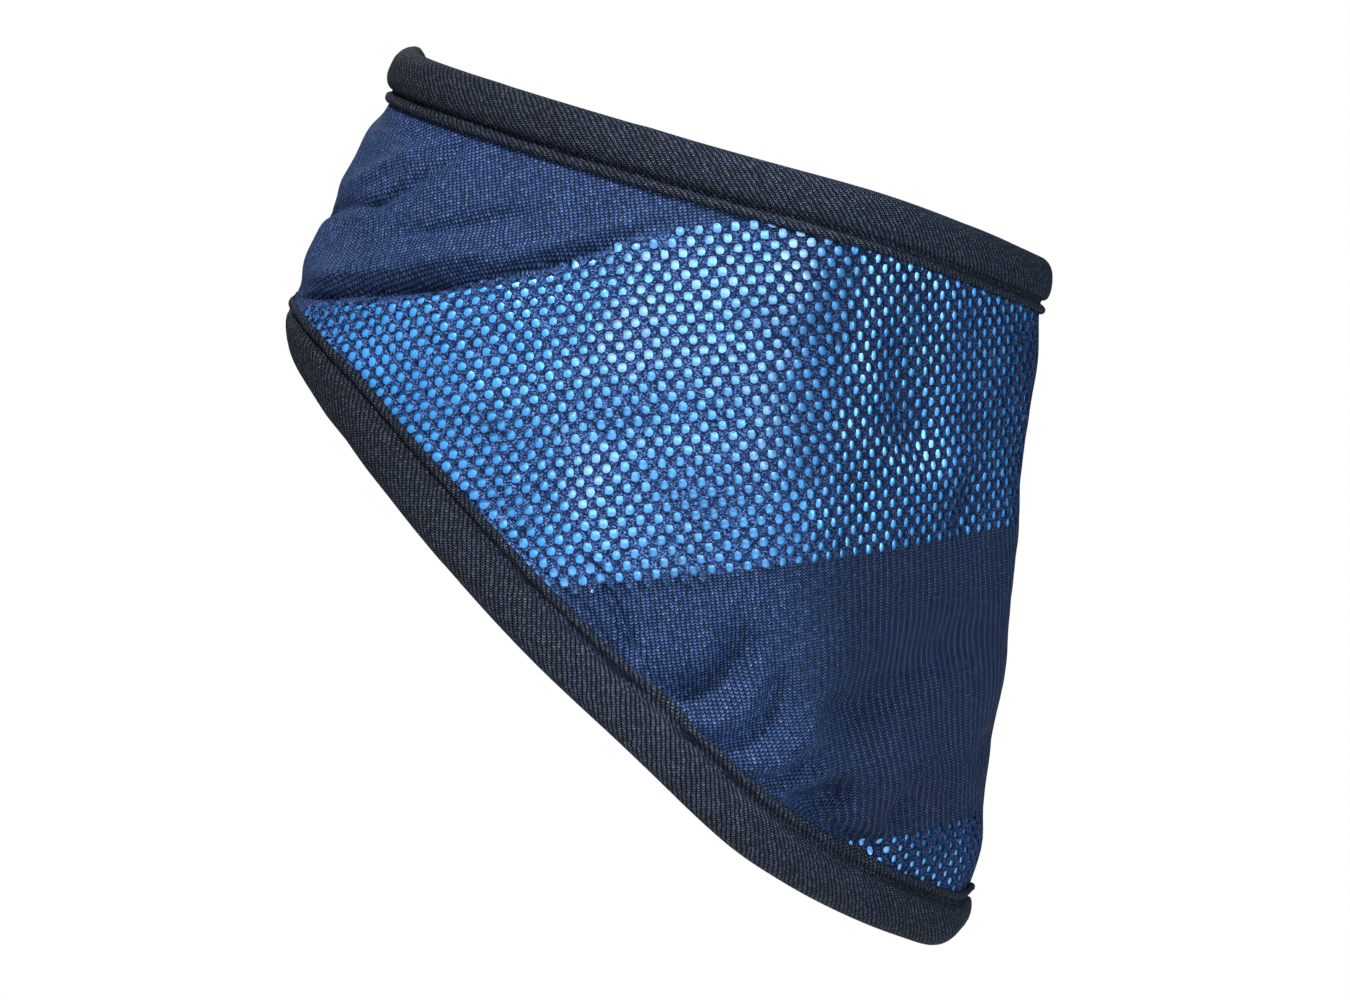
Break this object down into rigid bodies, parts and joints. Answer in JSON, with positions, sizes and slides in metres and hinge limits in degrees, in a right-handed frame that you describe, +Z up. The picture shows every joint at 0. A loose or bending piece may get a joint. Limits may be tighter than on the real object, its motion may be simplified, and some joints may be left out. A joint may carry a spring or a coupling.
{
  "type": "dog cooling scarf",
  "caption": "Slip-on tubular cooling scarf for a dog's neck: perforated knit shell over a glossy cooling layer, longer at the throat, with a folded tape binding round each hem.",
  "frame": {"origin": "middle of the neck hole, halfway between nape and throat and between the two hems", "axes": "+Z up as worn, +X towards the throat, Y across the neck from side to side"},
  "size_m": [0.1671, 0.1284, 0.1931],
  "materials": {
    "perforated_knit": "fine navy knit with bands of round holes, low sheen",
    "cooling_layer": "smooth bright blue cloth with a wet gloss",
    "binding_tape": "blue-black herringbone twill tape, matt"
  },
  "bodies": {
    "root": {"outer_shell": "perforated_knit", "cooling_liner": "cooling_layer", "upper_binding": "binding_tape", "lower_binding": "binding_tape"}
  },
  "joints": []
}
